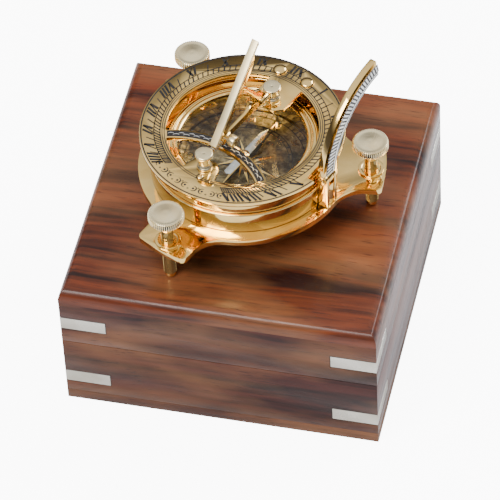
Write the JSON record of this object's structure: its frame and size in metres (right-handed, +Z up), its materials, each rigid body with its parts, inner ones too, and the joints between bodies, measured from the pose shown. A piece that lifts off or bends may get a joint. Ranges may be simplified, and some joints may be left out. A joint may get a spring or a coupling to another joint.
{
  "type": "garden sundial",
  "caption": "Folding brass sundial with a compass, hour ring, tilting latitude arc and levelling screws, standing on its own hinged hardwood case.",
  "frame": {"origin": "centre of the case's flat underside", "axes": "+X along the front of the case to the right, +Y to its hinged back, +Z up"},
  "size_m": [0.15, 0.1572, 0.1671],
  "materials": {
    "wood": "gloss lacquered rosewood",
    "strap_metal": "flush inlaid white metal",
    "felt": "green baize",
    "hinge_brass": "satin brass",
    "brass": "polished brass",
    "dial_brass": "engraved and darkened brass",
    "steel": "polished steel",
    "glass": "clear flat glass"
  },
  "bodies": {
    "case": {"base_front": "wood", "base_back": "wood", "base_left": "wood", "base_right": "wood", "base_bottom": "wood", "base_straps": "strap_metal", "base_felt": "felt", "base_hinge_leaves": "hinge_brass", "base_hinge_screws": "hinge_brass", "case_hinge_pins": "hinge_brass"},
    "lid": {"lid_front": "wood", "lid_back": "wood", "lid_left": "wood", "lid_right": "wood", "lid_top": "wood", "lid_straps": "strap_metal", "lid_felt": "felt", "lid_hinge_leaves": "hinge_brass", "lid_hinge_screws": "hinge_brass"},
    "stand": {"base_plate": "brass", "screw_bushes": "brass", "compass_housing": "brass", "plate_screws": "brass", "compass_dial": "dial_brass", "needle_pivot": "brass", "compass_glass": "glass", "compass_bezel": "brass", "ring_hinge_bracket": "brass", "ring_hinge_pin": "brass", "arc_bracket": "brass", "arc_hinge_pin": "brass"},
    "needle": {"compass_needle": "steel", "needle_cap": "brass"},
    "ring": {"hour_ring": "brass", "ring_hinge_leaf": "brass", "ring_rivets": "brass", "post_noon": "brass", "post_south": "brass", "gnomon_pivots": "brass", "gnomon_spring": "steel"},
    "gnomon": {"gnomon_blade": "brass", "gnomon_style": "brass", "gnomon_clamp_screw": "brass"},
    "arc": {"latitude_arc": "brass"},
    "screw_south": {"shank_south": "brass"},
    "head_south": {"knob_south": "brass"},
    "screw_east": {"shank_east": "brass"},
    "head_east": {"knob_east": "brass"},
    "screw_west": {"shank_west": "brass"},
    "head_west": {"knob_west": "brass"}
  },
  "joints": [
    {"name": "lid_hinge", "type": "hinge", "parent": "case", "child": "lid", "pos_m": [0, 0.0786, 0.0405], "axis": [-1, 0, 0], "range_deg": [0, 100]},
    {"name": "stand_lift", "type": "slide", "parent": "lid", "child": "stand", "axis": [0, 0, 1], "range_m": [0, 0.09]},
    {"name": "needle_spin", "type": "hinge", "parent": "stand", "child": "needle", "pos_m": [-0.0023, -0.0019, 0.1021], "axis": [0, 0, 1], "continuous": true},
    {"name": "ring_tilt", "type": "hinge", "parent": "stand", "child": "ring", "pos_m": [0.01596, 0.0401, 0.1154], "axis": [-0.9171, 0.3987, 0], "range_deg": [0, 55]},
    {"name": "gnomon_fold", "type": "hinge", "parent": "ring", "child": "gnomon", "pos_m": [-0.0023, -0.0019, 0.1257], "axis": [-0.3987, -0.9171, 0], "range_deg": [0, 86]},
    {"name": "arc_fold", "type": "hinge", "parent": "stand", "child": "arc", "pos_m": [0.04025, -0.0204, 0.114], "axis": [0.3987, 0.9171, 0], "range_deg": [0, 90]},
    {"name": "feed_south", "type": "slide", "parent": "stand", "child": "screw_south", "axis": [0, 0, 1], "range_m": [0, 0.004]},
    {"name": "turn_south", "type": "hinge", "parent": "screw_south", "child": "head_south", "pos_m": [-0.02591, -0.05619, 0.1108], "axis": [0, 0, 1], "range_deg": [0, 1800]},
    {"name": "feed_east", "type": "slide", "parent": "stand", "child": "screw_east", "axis": [0, 0, 1], "range_m": [0, 0.004]},
    {"name": "turn_east", "type": "hinge", "parent": "screw_east", "child": "head_east", "pos_m": [0.05652, 0.0048, 0.1108], "axis": [0, 0, 1], "range_deg": [0, 1800]},
    {"name": "feed_west", "type": "slide", "parent": "stand", "child": "screw_west", "axis": [0, 0, 1], "range_m": [0, 0.004]},
    {"name": "turn_west", "type": "hinge", "parent": "screw_west", "child": "head_west", "pos_m": [-0.03751, 0.04569, 0.1108], "axis": [0, 0, 1], "range_deg": [0, 1800]}
  ],
  "couplings": [
    {"joint": "feed_south", "follows": "turn_south", "m_per_rad": 0.00012732},
    {"joint": "feed_east", "follows": "turn_east", "m_per_rad": 0.00012732},
    {"joint": "feed_west", "follows": "turn_west", "m_per_rad": 0.00012732}
  ]
}
